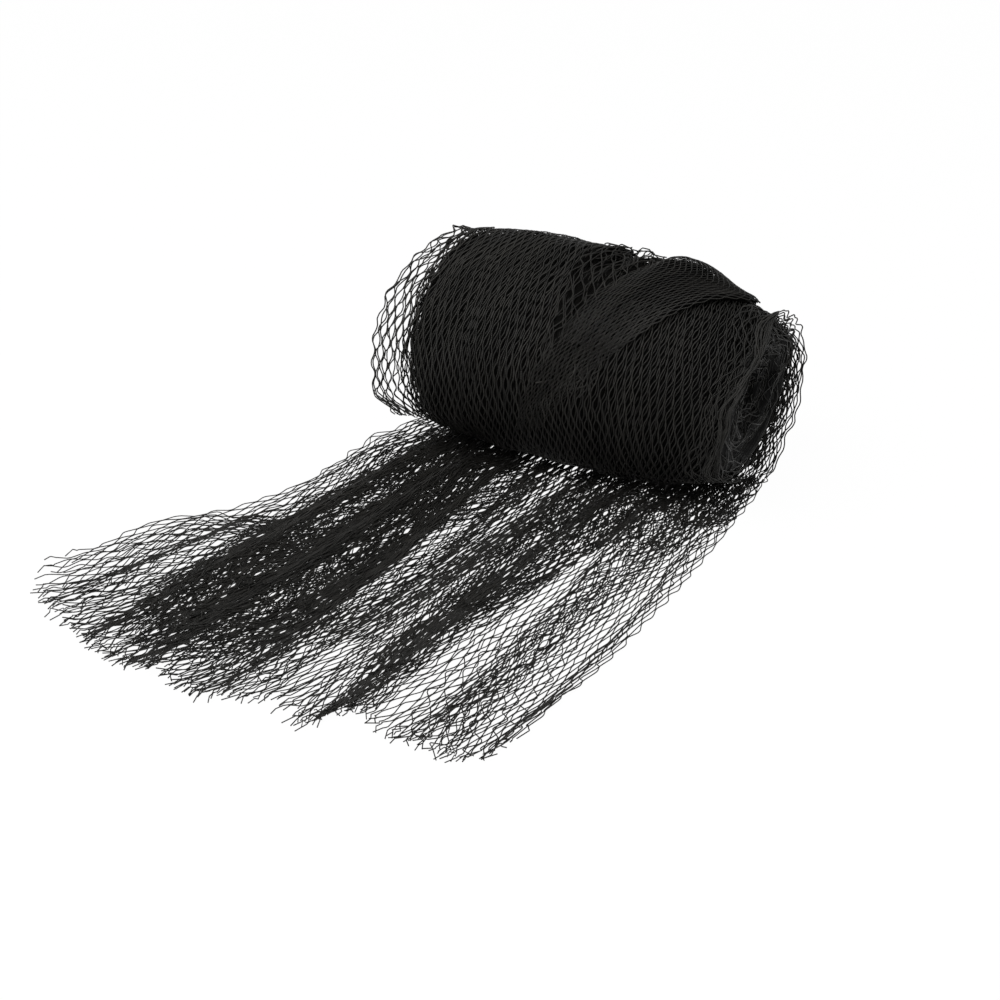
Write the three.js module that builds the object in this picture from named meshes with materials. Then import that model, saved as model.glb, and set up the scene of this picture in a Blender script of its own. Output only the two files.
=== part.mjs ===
// Knitted pond netting, most of it rolled up and its loose end pulled out over the ground.
// Millimetres, +Z up. The roll lies along X, and the loose end runs out from under it towards -Y.
// The netting is one cut piece: its wound roll, the loose turn round the roll and the loose end.

import * as THREE from 'three';

// ---- Driving dimensions ----

const SHEET = 2.4; // thickness of the loose cloth, two or three knitted layers with air between them
const AXIS_HEIGHT = 70; // height of the roll's axis above the ground
const SEAT = 3; // height of the flat spot under the roll, just over the cloth it lies on
const STAND_OFF = 1.6; // least gap between the roll and the loose turn round it
const SPLIT = 17.5; // Y of the line under the roll where the loose turn meets the loose end
const SPLIT_GAP = 0.3; // gap along that line

const ROLL_SIDES = 36;
const END_ROUNDING = 4; // fillet between the wound surface and an end
const END_SLANT = 0.13; // the right end leans outwards at its top, this much for each millimetre of height
const HOLLOW_RADIUS = 13; // twisted hollow at the middle of each end
const HOLLOW_DEPTH = 26; // depth at the middle of the hollow
const HOLLOW_WALL = 23; // depth round its edge
const HOLLOW_STRETCH = 0.25; // how much longer than high the hollow is
const DISH_DEPTH = 7; // how far an end face falls from its rim to the hollow
const END_STEPS = 8; // rings over each end face
const COIL_DEPTH = 1.8; // height of the coils that show on an end face
const COIL_PITCH = 18; // distance between those coils
const COIL_MARGIN = 1; // the coils stop this far from the hollow and from the rim

const PRESSED_ANGLE = 55; // the tight fold presses the roll's right end in most here, between back and top
const PRESSED_REACH = 60; // and not at all this many degrees to either side
const PRESSED_RETURN = 0.9; // past that end the loose turn stands out again, this much for each millimetre

const VEIL_FLARE = 0.1; // how fast the loose turn widens past the left end of the roll
const FOLD_CREST = 0.45; // share of the slanting fold's width where it has its full height
const FOLD_FALL_START = 0.9; // share of its width where it starts to fall to its crease
const FOLD_FALL_END = 1.1;

const TURN_COLUMNS = 20; // steps along the roll
const TURN_ROWS = 38; // steps round the roll
const END_COLUMNS = 56; // steps across the loose end
const END_ROWS = 18; // steps along the loose end
const RIDGE_START = -26; // Y where the folds of the loose end start to rise, in front of the roll
const RIDGE_FULL = -78; // Y where they have their full height
const RIDGE_HOLLOW = 0.4; // share of a fold's height that is hollow under it, the rest being piled cloth
const RIDGE_SETTLED = 0.55; // share of its height that a fold has left at the front edge
const RIDGE_ROLL_Y = -40; // Y where the courses of the folds start
const RIDGE_MIDDLE_Y = -190; // Y of their middle
const RIDGE_FRONT_Y = -340; // Y of their front

// Radius of the wound roll along its length, and how far the fold across it presses it in.
const rollStations = [
	{ along: -107, radius: 61.5, pressed: 0 },
	{ along: -84, radius: 66, pressed: 0 },
	{ along: -45, radius: 69, pressed: 0 },
	{ along: 0, radius: 69, pressed: 0 },
	{ along: 45, radius: 68, pressed: 3 },
	{ along: 84, radius: 63, pressed: 14 },
	{ along: 103, radius: 57.5, pressed: 20 },
];

const LEFT_END = rollStations[ 0 ];
const RIGHT_END = rollStations[ rollStations.length - 1 ];
const BELLY_RADIUS = Math.max( ...rollStations.map( ( row ) => row.radius ) );

// Soft lumps where layers were wound more or less tightly: waves round the roll that twist along it.
const lumpWaves = [
	{ height: 0.7, waves: 3, twist: 38 },
	{ height: 0.45, waves: 5, twist: -27 },
];

// How far the loose turn hangs off the roll, and where its two edges lie along X before the end is slanted.
// Degrees round the roll: -90 is the ground side, 0 the back, 90 the top and 180 the front.
const turnStations = [
	{ angle: -75, slack: 20, left: -118, right: 118 },
	{ angle: -60, slack: 14, left: -124, right: 119 },
	{ angle: -45, slack: 9.5, left: -127, right: 119 },
	{ angle: -20, slack: 5, left: -129, right: 116 },
	{ angle: 10, slack: 2, left: -130, right: 109 },
	{ angle: 50, slack: 0.5, left: -129, right: 105 },
	{ angle: 90, slack: 0, left: -121, right: 105 },
	{ angle: 118, slack: 0, left: -124, right: 112 },
	{ angle: 145, slack: 0, left: -130, right: 113 },
	{ angle: 165, slack: 0.5, left: -130, right: 110 },
	{ angle: 190, slack: 1, left: -130, right: 107 },
	{ angle: 226, slack: 0.5, left: -126, right: 104 },
];

// The fold that crosses the loose turn aslant: its two edges along X and its height, round the roll.
const foldStations = [
	{ angle: 20, from: 46, to: 80, height: 0 },
	{ angle: 60, from: 36, to: 85, height: 3.2 },
	{ angle: 79, from: 30, to: 91, height: 4.2 },
	{ angle: 92, from: 26, to: 90, height: 4.4 },
	{ angle: 109, from: 17, to: 72, height: 4.4 },
	{ angle: 122, from: 8, to: 59, height: 4.2 },
	{ angle: 135, from: 1, to: 45, height: 3.6 },
	{ angle: 150, from: -5, to: 27, height: 2.6 },
	{ angle: 171, from: -17, to: 8, height: 1.2 },
	{ angle: 200, from: -30, to: -16, height: 0 },
];

// The small slack loop of net that stands up on top of the roll.
const slackLoop = { along: 8, angle: 80, reach: 18, height: 4.5 };

// Side edges of the loose end, from its front corners to under the roll.
const sideStations = [
	{ y: -314, left: -241, right: 97 },
	{ y: -279, left: -241, right: 99 },
	{ y: -249, left: -220, right: 104 },
	{ y: -190, left: -187, right: 109 },
	{ y: -97, left: -149, right: 111 },
	{ y: -49, left: -145, right: 110 },
	{ y: -6, left: -131, right: 109 },
	{ y: 18, left: -112, right: 107 },
];

// The cut front edge with its notches. Share 0 is the left corner and 1 the right one.
const frontStations = [
	{ share: 0, y: -279 },
	{ share: 0.05, y: -308 },
	{ share: 0.13, y: -326 },
	{ share: 0.2, y: -337 },
	{ share: 0.27, y: -349 },
	{ share: 0.38, y: -352 },
	{ share: 0.48, y: -358 },
	{ share: 0.55, y: -350 },
	{ share: 0.59, y: -332 },
	{ share: 0.665, y: -357 },
	{ share: 0.74, y: -328 },
	{ share: 0.82, y: -344 },
	{ share: 0.93, y: -347 },
	{ share: 0.98, y: -338 },
	{ share: 1, y: -314 },
];

// Gathered folds of the loose end: X where each leaves the roll, halfway and at the front edge.
const ridges = [
	{ atRoll: -126, halfway: -158, atFront: -212, height: 5, reach: 13 },
	{ atRoll: -97, halfway: -124, atFront: -160, height: 10, reach: 17 },
	{ atRoll: -62, halfway: -84, atFront: -112, height: 12, reach: 20 },
	{ atRoll: -44, halfway: -46, atFront: -62, height: 7, reach: 14 },
	{ atRoll: 6, halfway: -8, atFront: -18, height: 4, reach: 12 },
	{ atRoll: 40, halfway: 20, atFront: 3, height: 9, reach: 16 },
	{ atRoll: 60, halfway: 63, atFront: 52, height: 8, reach: 13 },
	{ atRoll: 103, halfway: 105, atFront: 92, height: 4, reach: 8 },
];

// ---- Small helpers ----

/** Value of one column of a table at a place along its key column, straight between rows. */
function sample( rows, key, column, value ) {

	if ( value <= rows[ 0 ][ key ] ) return rows[ 0 ][ column ];
	for ( let i = 1; i < rows.length; i ++ ) {

		const before = rows[ i - 1 ];
		const after = rows[ i ];
		if ( value > after[ key ] ) continue;
		const share = ( value - before[ key ] ) / ( after[ key ] - before[ key ] );
		return THREE.MathUtils.lerp( before[ column ], after[ column ], share );

	}

	return rows[ rows.length - 1 ][ column ];

}

/** Smooth hump of height 1 at distance 0 that falls to 0 at a distance of reach. */
function hump( distance, reach ) {

	return Math.abs( distance ) < reach ? 0.5 * ( 1 + Math.cos( Math.PI * distance / reach ) ) : 0;

}

/** Closed slab of columns by rows, each of its points placed by place( u, v, outside ). */
function slab( columns, rows, place ) {

	const geometry = new THREE.BoxGeometry( 1, 1, 1, columns, rows, 1 );
	const points = geometry.attributes.position;
	for ( let i = 0; i < points.count; i ++ ) {

		const point = place( points.getX( i ) + 0.5, points.getY( i ) + 0.5, points.getZ( i ) > 0 );
		points.setXYZ( i, point.x, point.y, point.z );

	}

	return geometry;

}

/** Point at a distance from the roll's axis, by its angle round the roll in degrees. */
function aroundRoll( along, angle, distance ) {

	const turn = THREE.MathUtils.degToRad( angle );
	return new THREE.Vector3( along, distance * Math.cos( turn ), AXIS_HEIGHT + distance * Math.sin( turn ) );

}

/** Leans the right end of the roll and of the turn round it outwards at the top. */
function slantEnd( point ) {

	const share = THREE.MathUtils.smoothstep( point.x, 0, RIGHT_END.along );
	point.x += END_SLANT * ( point.z - AXIS_HEIGHT ) * share;

}

// ---- The wound roll ----

/** Height of the wound surface's soft lumps. */
function lumps( along, angle ) {

	const turn = THREE.MathUtils.degToRad( angle );
	const heights = lumpWaves.map(
		( lump ) => lump.height * Math.sin( lump.waves * turn + along / lump.twist ),
	);
	return heights.reduce( ( total, height ) => total + height );

}

/** How far the wound surface is off its round form: its lumps, less what the fold has pressed in. */
function unevenness( along, angle ) {

	const pressed = sample( rollStations, 'along', 'pressed', along );
	return lumps( along, angle ) - pressed * hump( angle - PRESSED_ANGLE, PRESSED_REACH );

}

/** Radius of the wound surface. */
function rollRadius( along, angle ) {

	return sample( rollStations, 'along', 'radius', along ) + unevenness( along, angle );

}

/** Half of the roll's section, from the bottom of one hollow over the outside to the other. */
function rollProfile() {

	const endFace = ( end ) => {

		const inwards = - Math.sign( end.along );
		const face = [ new THREE.Vector2( 0, end.along + inwards * HOLLOW_DEPTH ) ];
		face.push( new THREE.Vector2( HOLLOW_RADIUS, end.along + inwards * HOLLOW_WALL ) );
		for ( let i = 1; i <= END_STEPS; i ++ ) {

			const radius = THREE.MathUtils.lerp( HOLLOW_RADIUS, end.radius - END_ROUNDING, i / END_STEPS );
			const depth = DISH_DEPTH * ( 1 - i / END_STEPS ) ** 2;
			face.push( new THREE.Vector2( radius, end.along + inwards * depth ) );

		}

		return face;

	};

	const outside = [
		new THREE.Vector2( LEFT_END.radius, LEFT_END.along + END_ROUNDING ),
		...rollStations.slice( 1, - 1 ).map( ( row ) => new THREE.Vector2( row.radius, row.along ) ),
		new THREE.Vector2( RIGHT_END.radius, RIGHT_END.along - END_ROUNDING ),
	];
	return [ ...endFace( LEFT_END ), ...outside, ...endFace( RIGHT_END ).reverse() ];

}

/** Shift of an end face along X: its coils as a spiral of low waves between hollow and rim. */
function coils( radius, angle, rim ) {

	const inside = radius - HOLLOW_RADIUS;
	const room = rim - END_ROUNDING - radius;
	if ( inside < COIL_MARGIN || room < COIL_MARGIN ) return 0;
	const phase = 2 * Math.PI * ( inside / COIL_PITCH - angle / 360 );
	return COIL_DEPTH * Math.sin( phase );

}

function buildRoll() {

	const geometry = new THREE.LatheGeometry( rollProfile(), ROLL_SIDES );
	const points = geometry.attributes.position;
	for ( let i = 0; i < points.count; i ++ ) {

		// The lathe turns about Y: its axes X, Y and Z become Z, X and Y of the roll.
		const y = points.getZ( i );
		const z = points.getX( i );
		let along = points.getY( i );
		const radius = Math.hypot( y, z );
		const angle = THREE.MathUtils.radToDeg( Math.atan2( z, y ) );
		const rim = sample( rollStations, 'along', 'radius', along );
		const uneven = unevenness( along, angle ) * Math.min( 1, radius / rim ) ** 2;
		const end = along < 0 ? LEFT_END : RIGHT_END;
		const onEnd = Math.abs( end.along - along ) < DISH_DEPTH && radius < rim - END_ROUNDING / 2;
		if ( onEnd ) along += coils( radius, angle, rim ) * Math.sign( along );
		const stretch = 1 + HOLLOW_STRETCH * hump( radius, 2 * HOLLOW_RADIUS );
		const point = aroundRoll( along, angle, radius + uneven );
		point.y *= stretch;
		slantEnd( point );
		points.setXYZ( i, point.x, point.y, Math.max( point.z, SEAT ) );

	}

	return geometry;

}

// ---- The loose turn round the roll ----

/** Height of the slanting fold and of the slack loop over the loose turn. */
function foldHeight( along, angle ) {

	const from = sample( foldStations, 'angle', 'from', angle );
	const to = sample( foldStations, 'angle', 'to', angle );
	const height = sample( foldStations, 'angle', 'height', angle );
	const share = ( along - from ) / ( to - from );
	const rise = THREE.MathUtils.smoothstep( share, 0, FOLD_CREST );
	const drop = THREE.MathUtils.smoothstep( share, FOLD_FALL_START, FOLD_FALL_END );
	const arc = THREE.MathUtils.degToRad( angle - slackLoop.angle ) * BELLY_RADIUS;
	const loop = slackLoop.height * hump( Math.hypot( along - slackLoop.along, arc ), slackLoop.reach );
	return height * rise * ( 1 - drop ) + loop;

}

function buildOuterTurn() {

	const firstAngle = turnStations[ 0 ].angle;
	const lastAngle = turnStations[ turnStations.length - 1 ].angle;
	return slab( TURN_COLUMNS, TURN_ROWS, ( u, v, outside ) => {

		const angle = THREE.MathUtils.lerp( lastAngle, firstAngle, v );
		const left = sample( turnStations, 'angle', 'left', angle );
		const right = sample( turnStations, 'angle', 'right', angle );
		const along = THREE.MathUtils.lerp( left, right, u );
		const slack = sample( turnStations, 'angle', 'slack', angle );
		const flare = VEIL_FLARE * Math.max( 0, LEFT_END.along - along );
		const pastEnd = Math.max( 0, along - RIGHT_END.along );
		const back = PRESSED_RETURN * pastEnd * hump( angle - PRESSED_ANGLE, PRESSED_REACH );
		const hang = rollRadius( along, angle ) + STAND_OFF + slack + flare + back + foldHeight( along, angle );
		const lift = outside ? SHEET : 0;
		const point = aroundRoll( along, angle, hang + lift );
		const ground = outside ? 0 : SHEET;
		if ( point.z < ground ) {

			// The cloth lies on the ground: the point keeps its angle and stops there.
			const fall = ( AXIS_HEIGHT - ground ) / ( AXIS_HEIGHT - point.z );
			point.y *= fall;
			point.z = ground;

		}

		slantEnd( point );
		return point;

	} );

}

// ---- The loose end on the ground ----

/** X of a ridge's crest at a place along the loose end. */
function ridgeCrest( ridge, y ) {

	const course = [
		{ y: RIDGE_FRONT_Y, x: ridge.atFront },
		{ y: RIDGE_MIDDLE_Y, x: ridge.halfway },
		{ y: RIDGE_ROLL_Y, x: ridge.atRoll },
	];
	return sample( course, 'y', 'x', y );

}

/** Height of the gathered folds over the ground. */
function ridgeHeight( x, y ) {

	const grown = 1 - THREE.MathUtils.smoothstep( y, RIDGE_FULL, RIDGE_START );
	const settled = THREE.MathUtils.mapLinear( y, RIDGE_FULL, RIDGE_FRONT_Y, 1, RIDGE_SETTLED );
	const crests = ridges.map( ( ridge ) => ridge.height * hump( x - ridgeCrest( ridge, y ), ridge.reach ) );
	return grown * Math.min( 1, settled ) * Math.max( ...crests );

}

function buildLooseEnd() {

	const back = SPLIT - SPLIT_GAP;
	return slab( END_COLUMNS, END_ROWS, ( u, v, outside ) => {

		const front = sample( frontStations, 'share', 'y', u );
		const y = THREE.MathUtils.lerp( front, back, v );
		// The side edges are read at the corner's share of the way, so that the notches stay in the front edge.
		const leftY = THREE.MathUtils.lerp( frontStations[ 0 ].y, back, v );
		const rightY = THREE.MathUtils.lerp( frontStations[ frontStations.length - 1 ].y, back, v );
		const left = sample( sideStations, 'y', 'left', leftY );
		const right = sample( sideStations, 'y', 'right', rightY );
		const x = THREE.MathUtils.lerp( left, right, u );
		const height = ridgeHeight( x, y );
		return new THREE.Vector3( x, y, outside ? SHEET + height : RIDGE_HOLLOW * height );

	} );

}

// ---- The model ----

const darkYarn = { roughness: 0.62, metalness: 0 };
const nodes = [
	{ name: 'roll', color: 0x121211, geometry: buildRoll() },
	{ name: 'outer_turn', color: 0x1b1a18, geometry: buildOuterTurn() },
	{ name: 'loose_end', color: 0x211f1d, geometry: buildLooseEnd() },
];

const group = new THREE.Group();
for ( const node of nodes ) {

	const material = new THREE.MeshStandardMaterial( { color: node.color, ...darkYarn } );
	const mesh = new THREE.Mesh( node.geometry, material );
	mesh.name = node.name;
	group.add( mesh );

}

// The origin is on the ground, in the middle of the netting's outline.
const middle = new THREE.Box3().setFromObject( group ).getCenter( new THREE.Vector3() );
group.position.set( - middle.x, - middle.y, 0 );

export default group;
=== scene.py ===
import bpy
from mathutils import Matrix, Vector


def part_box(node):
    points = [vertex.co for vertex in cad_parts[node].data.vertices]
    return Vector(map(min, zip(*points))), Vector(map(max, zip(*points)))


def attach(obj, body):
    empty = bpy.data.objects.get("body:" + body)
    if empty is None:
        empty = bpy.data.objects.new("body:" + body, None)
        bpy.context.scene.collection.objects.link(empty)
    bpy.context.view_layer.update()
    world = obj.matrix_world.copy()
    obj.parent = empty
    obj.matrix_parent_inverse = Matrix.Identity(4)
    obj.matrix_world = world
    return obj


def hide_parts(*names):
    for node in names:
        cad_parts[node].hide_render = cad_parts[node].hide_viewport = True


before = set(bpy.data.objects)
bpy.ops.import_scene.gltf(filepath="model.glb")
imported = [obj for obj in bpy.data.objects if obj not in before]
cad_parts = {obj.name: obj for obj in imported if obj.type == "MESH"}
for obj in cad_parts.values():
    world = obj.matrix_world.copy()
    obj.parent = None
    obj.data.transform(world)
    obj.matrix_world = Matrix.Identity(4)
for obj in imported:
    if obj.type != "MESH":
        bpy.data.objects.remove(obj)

"""Knitted pond netting, most of it rolled up, its loose end pulled out over the ground.

Every strand of the net is real geometry. Each layer of cloth is a set of wales, the yarns that run along
the net. A wale swings from one neighbour to the other and is knotted to it there, which opens the cells.
Guides for the wales are laid on each layer's surface, and one Geometry Nodes tree knits yarn along them.

Sizes are in millimetres in the netting's own frame: X along the roll, Y to the back, Z up, with the middle
of the roll over the zero point. Placement turns them into metres in the frame of the part.
"""

import logging
import math
from dataclasses import dataclass
from enum import Enum
from functools import partial
from typing import Callable, Sequence

import bmesh
import bpy
import numpy as np
from mathutils import Matrix, Vector

logging.basicConfig(level=logging.INFO, format="%(message)s")
log = logging.getLogger("netting")

MM = 0.001
FULL_TURN = 2 * math.pi
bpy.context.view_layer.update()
Array = np.ndarray
Surface = Callable[[Array, Array], Array]


# ---------------------------------------------------------------- numbers


@dataclass(frozen=True)
class Table:
    """Rows of numbers under named columns, read smoothly at any place along the first column."""

    columns: tuple[str, ...]
    rows: tuple[tuple[float, ...], ...]

    def values(self, column: str) -> Array:
        """All values of one column."""
        return np.array([row[self.columns.index(column)] for row in self.rows], float)

    def at(self, column: str, where: Array | float) -> Array:
        """A column's value between the rows, on a curve that doesn't overshoot them.

        Args:
            column: name of the column to read.
            where: places along the first column.

        Returns:
            The values, in the shape of where.
        """
        x, y = self.values(self.columns[0]), self.values(column)
        step, slope = np.diff(x), np.diff(y) / np.diff(x)
        tangent = np.zeros(len(x))
        inner = slope[:-1] * slope[1:]
        both = np.where(slope[:-1] + slope[1:] == 0, 1, slope[:-1] + slope[1:])
        tangent[1:-1] = np.where(inner > 0, 2 * inner / both, 0)
        tangent[0], tangent[-1] = slope[0], slope[-1]
        spot = np.clip(np.asarray(where, float), x[0], x[-1])
        row = np.clip(np.searchsorted(x, spot, side="right") - 1, 0, len(step) - 1)
        t = (spot - x[row]) / step[row]
        start = (1 + 2 * t) * (1 - t) ** 2 * y[row] + t * (1 - t) ** 2 * step[row] * tangent[row]
        end = t * t * (3 - 2 * t) * y[row + 1] - t * t * (1 - t) * step[row] * tangent[row + 1]
        return start + end


@dataclass(frozen=True)
class Ripple:
    """Soft random waves over two coordinates, the same on every run."""

    seed: int
    size: float
    wavelength: float
    waves: int = 7
    stretches: tuple[float, float] = (0.6, 1.7)

    def at(self, first: Array, second: Array) -> Array:
        """Height of the waves, about plus or minus size.

        Args:
            first: places along one coordinate.
            second: places along the other.

        Returns:
            The heights there.
        """
        rng = np.random.default_rng(self.seed)
        total = 0.0
        for _ in range(self.waves):
            turn, phase = rng.uniform(0, FULL_TURN, 2)
            pitch = FULL_TURN / (self.wavelength * rng.uniform(*self.stretches))
            total = total + np.sin(pitch * (first * math.cos(turn) + second * math.sin(turn)) + phase)
        return self.size * total / math.sqrt(self.waves)


@dataclass(frozen=True)
class Pleats:
    """Sideways shift that lays cloth in long, narrow pleats, the same on every run.

    Between the pleats the cloth keeps its width, and in each of them it is drawn together or laid double.
    """

    seed: int
    depth: float
    widths: tuple[float, ...] = (9.5, 16.0, 37.0)
    length: float = 420.0
    sharpness: float = 0.68
    stretches: tuple[float, float] = (0.5, 1.6)
    drift: float = 1.5
    sway: float = 0.25
    sway_length: float = 0.3

    def at(self, across: Array, along: Array) -> Array:
        """Shift across the cloth.

        Args:
            across: places across the cloth.
            along: places along it.

        Returns:
            The shifts, in the unit of across.
        """
        rng = np.random.default_rng(self.seed)
        total = 0.0
        for width in self.widths:
            phase, bend = rng.uniform(0, FULL_TURN, 2)
            long, short = self.length * rng.uniform(*self.stretches, 2)
            drift = self.drift * np.sin(FULL_TURN * along / long + bend)
            sway = self.sway * np.sin(FULL_TURN * along / (self.sway_length * short) + 2 * bend)
            turn = FULL_TURN * across / width + phase + drift + sway
            step = np.arctan2(self.sharpness * np.sin(turn), 1 - self.sharpness * np.cos(turn))
            total = total - width * step
        return self.depth * total / FULL_TURN


def hump(distance: Array, reach: float) -> Array:
    """Smooth hill of height 1 at distance 0 that falls to 0 at a distance of reach."""
    inside = np.abs(distance) < reach
    return np.where(inside, 0.5 * (1 + np.cos(math.pi * np.clip(distance / reach, -1, 1))), 0)


def smoothstep(value: Array, low: float, high: float) -> Array:
    """0 below low, 1 above high and smooth between them."""
    t = np.clip((value - low) / (high - low), 0, 1)
    return t * t * (3 - 2 * t)


def mix(first: Array | float, second: Array | float, share: Array | float) -> Array:
    """The value that lies a share of the way from first to second."""
    return first + (second - first) * share


# ---------------------------------------------------------------- shader nodes

Colour = tuple[float, float, float]

# sockets of a Mix node that mixes colours, by their numbers
MIX_FIRST, MIX_SECOND, MIX_RESULT = 6, 7, 2

WHITE = (1, 1, 1, 1)


class Value:
    """A node socket that Python's own operators work on."""

    def __init__(self, nodes: "ShaderNodes", socket: bpy.types.NodeSocket) -> None:
        """Wraps a socket of the nodes."""
        self.nodes = nodes
        self.socket = socket

    def _maths(self, operation: str, first: "Value | float", second: "Value | float") -> "Value":
        """A Math node on two values."""
        return self.nodes.add("ShaderNodeMath", {"operation": operation}, {0: first, 1: second})

    def __add__(self, other: "Value | float") -> "Value":
        """self + other."""
        return self._maths("ADD", self, other)

    def __radd__(self, other: float) -> "Value":
        """other + self."""
        return self._maths("ADD", other, self)

    def __sub__(self, other: "Value | float") -> "Value":
        """self - other."""
        return self._maths("SUBTRACT", self, other)

    def __rsub__(self, other: float) -> "Value":
        """other - self."""
        return self._maths("SUBTRACT", other, self)

    def __mul__(self, other: "Value | float") -> "Value":
        """self * other."""
        return self._maths("MULTIPLY", self, other)

    def __rmul__(self, other: float) -> "Value":
        """other * self."""
        return self._maths("MULTIPLY", other, self)

    def sine(self) -> "Value":
        """Sine of the value, in radians."""
        return self._maths("SINE", self, 0.0)

    def above(self, low: float, high: float) -> "Value":
        """0 below low and 1 above high, straight between them."""
        sockets = {"Value": self, "From Min": low, "From Max": high}
        return self.nodes.add("ShaderNodeMapRange", {"clamp": True}, sockets, "Result")


class ShaderNodes:
    """Adds nodes to a new material or world."""

    def __init__(self, owner: bpy.types.Material | bpy.types.World, output: str = "Material") -> None:
        """Clears the owner's nodes.

        Args:
            owner: the material or world.
            output: "Material" or "World", as its output node is called.
        """
        self.owner = owner
        owner.use_nodes = True
        self.tree = owner.node_tree
        self.tree.nodes.clear()
        self.output = self.tree.nodes.new("ShaderNodeOutput" + output)

    @classmethod
    def material(cls, name: str) -> "ShaderNodes":
        """Nodes of a new material."""
        return cls(bpy.data.materials.new(name))

    def add(self, kind: str, settings: dict, sockets: dict, output: str | int = 0) -> Value:
        """Adds one node.

        Args:
            kind: the node's type.
            settings: its properties, set before its sockets.
            sockets: values or links, by socket name or number.
            output: the output that is handed back.

        Returns:
            That output, as a Value.
        """
        node = self.tree.nodes.new(kind)
        for key, setting in settings.items():
            setattr(node, key, setting)
        for key, content in sockets.items():
            if isinstance(content, Value):
                self.tree.links.new(content.socket, node.inputs[key])
            else:
                node.inputs[key].default_value = content
        return Value(self, node.outputs[output])

    def blend(self, share: Value, first: Colour, second: Colour) -> Value:
        """A colour that lies a share of the way from first to second."""
        sockets = {"Factor": share, MIX_FIRST: (*first, 1), MIX_SECOND: (*second, 1)}
        return self.add("ShaderNodeMix", {"data_type": "RGBA"}, sockets, MIX_RESULT)

    def attribute(self, name: str) -> Value:
        """A number that the piece's mesh holds."""
        return self.add("ShaderNodeAttribute", {"attribute_name": name}, {}, "Fac")

    def noise(self, scale: float, detail: float) -> Value:
        """Noise over the piece's own coordinates."""
        place = self.add("ShaderNodeTexCoord", {}, {}, "Object")
        return self.add("ShaderNodeTexNoise", {}, {"Vector": place, "Scale": scale, "Detail": detail})

    def finish(self, shader: Value) -> bpy.types.Material | bpy.types.World:
        """Joins the shader to the output and hands the finished material or world back."""
        self.tree.links.new(shader.socket, self.output.inputs["Surface"])
        return self.owner


@dataclass(frozen=True)
class YarnFinish:
    """Black polyethylene yarn: satin, a little brown where the light comes through it."""

    name: str
    dark: Colour = (0.009, 0.0088, 0.0082)
    light: Colour = (0.031, 0.0295, 0.026)
    roughness: float = 0.55
    roughness_spread: float = 0.25
    specular: float = 0.3
    cloud_scale: float = 34.0
    speck_scale: float = 900.0
    cloud_share: float = 0.45
    speck_share: float = 0.3
    strand_share: float = 0.35
    tone_range: tuple[float, float] = (0.25, 0.85)
    filament_pitch: float = 0.0011
    filament_depth: float = 0.00012
    filament_strength: float = 0.6

    def make(self) -> bpy.types.Material:
        """Builds the material.

        Returns:
            The new material.
        """
        nodes = ShaderNodes.material(self.name)
        cloud = nodes.noise(self.cloud_scale, 3.0)
        speck = nodes.noise(self.speck_scale, 1.0)
        strand = nodes.attribute("tone")
        tone = self.cloud_share * cloud + self.speck_share * speck + self.strand_share * strand
        filament = (nodes.attribute("run") * (FULL_TURN / self.filament_pitch)).sine()
        ridges = {"Height": filament, "Distance": self.filament_depth, "Strength": self.filament_strength}
        sockets = {
            "Base Color": nodes.blend(tone.above(*self.tone_range), self.dark, self.light),
            "Roughness": self.roughness + self.roughness_spread * (cloud - 0.5),
            "Normal": nodes.add("ShaderNodeBump", {}, ridges),
            "Specular IOR Level": self.specular,
        }
        return nodes.finish(nodes.add("ShaderNodeBsdfPrincipled", {}, sockets))


@dataclass(frozen=True)
class CoreFinish:
    """The depth of the roll: layer under layer of net with strands that just show, both almost black with
    painted shade of the depth that little light reaches.
    """

    name: str
    # painted shade: the depth's colour, far darker than the yarn's own, stands in for the shadow deep in the
    # roll
    painted_depth_shade: Colour = (0.0015, 0.0015, 0.0014)
    # the strand pattern is real, and its colour is darkened by painted shade as well
    strand: Colour = (0.007, 0.0068, 0.0064)
    roughness: float = 0.75
    smoother: float = 0.2
    specular: float = 0.1
    cloud_scale: float = 60.0
    strand_pitch: float = 2.1
    cell_length: float = 13.0
    swing: float = 0.45
    wander: float = 1.6
    strand_depth: float = 0.0007
    strand_range: tuple[float, float] = (0.1, 0.95)
    cloud_range: tuple[float, float] = (0.3, 0.7)

    def make(self) -> bpy.types.Material:
        """Builds the material.

        Returns:
            The new material.
        """
        nodes = ShaderNodes.material(self.name)
        cloud = nodes.noise(self.cloud_scale, 4.0)
        swing = self.swing * (nodes.attribute("along_cloth") * (FULL_TURN / self.cell_length)).sine()
        across = nodes.attribute("across_cloth") + self.wander * (cloud - 0.5) + swing
        ribs = (across * (FULL_TURN / self.strand_pitch)).sine()
        mask = ribs.above(*self.strand_range) * cloud.above(*self.cloud_range)
        sockets = {
            "Base Color": nodes.blend(mask, self.painted_depth_shade, self.strand),
            "Roughness": self.roughness - self.smoother * mask,
            "Normal": nodes.add("ShaderNodeBump", {}, {"Height": mask, "Distance": self.strand_depth}),
            "Specular IOR Level": self.specular,
        }
        return nodes.finish(nodes.add("ShaderNodeBsdfPrincipled", {}, sockets))


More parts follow.
